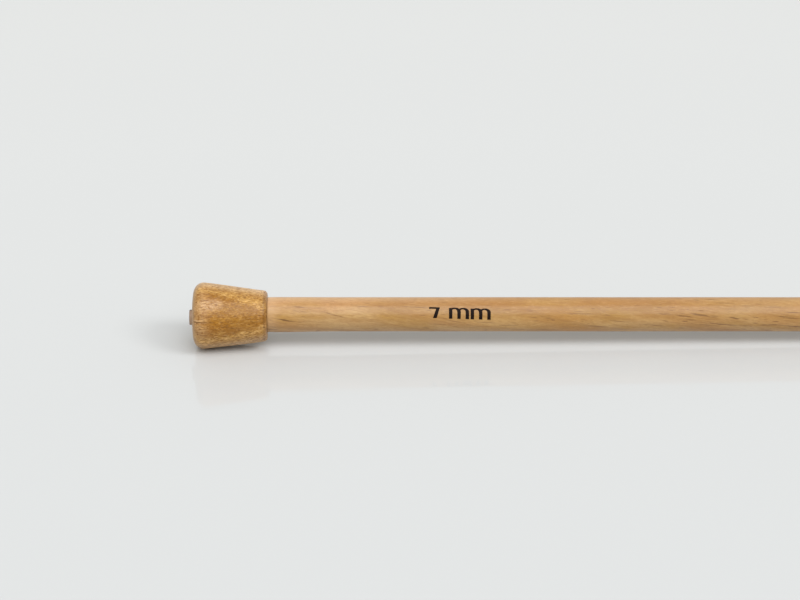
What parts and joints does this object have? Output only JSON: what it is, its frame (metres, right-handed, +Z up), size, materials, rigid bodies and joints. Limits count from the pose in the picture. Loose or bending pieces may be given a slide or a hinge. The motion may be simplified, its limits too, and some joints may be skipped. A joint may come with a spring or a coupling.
{
  "type": "single pointed knitting needle",
  "caption": "Straight round wooden knitting needle with a smooth tapered point at one end and a glued-on conical wooden end knob that keeps the stitches on.",
  "frame": {"origin": "on the needle's axis, where the shaft's shoulder meets the end knob", "axes": "+X along the shaft towards the point, +Z up as the needle lies on a table, +Y to the side"},
  "size_m": [0.351, 0.0134, 0.0134],
  "materials": {
    "shaft_wood": "pale beech, sanded smooth, thin clear satin lacquer",
    "knob_wood": "orange-brown hardwood, turned, clear gloss lacquer",
    "wood_glue": "set wood glue, translucent amber"
  },
  "bodies": {
    "root": {"needle_shaft": "shaft_wood", "end_knob": "knob_wood", "glue_film": "wood_glue"}
  },
  "joints": []
}
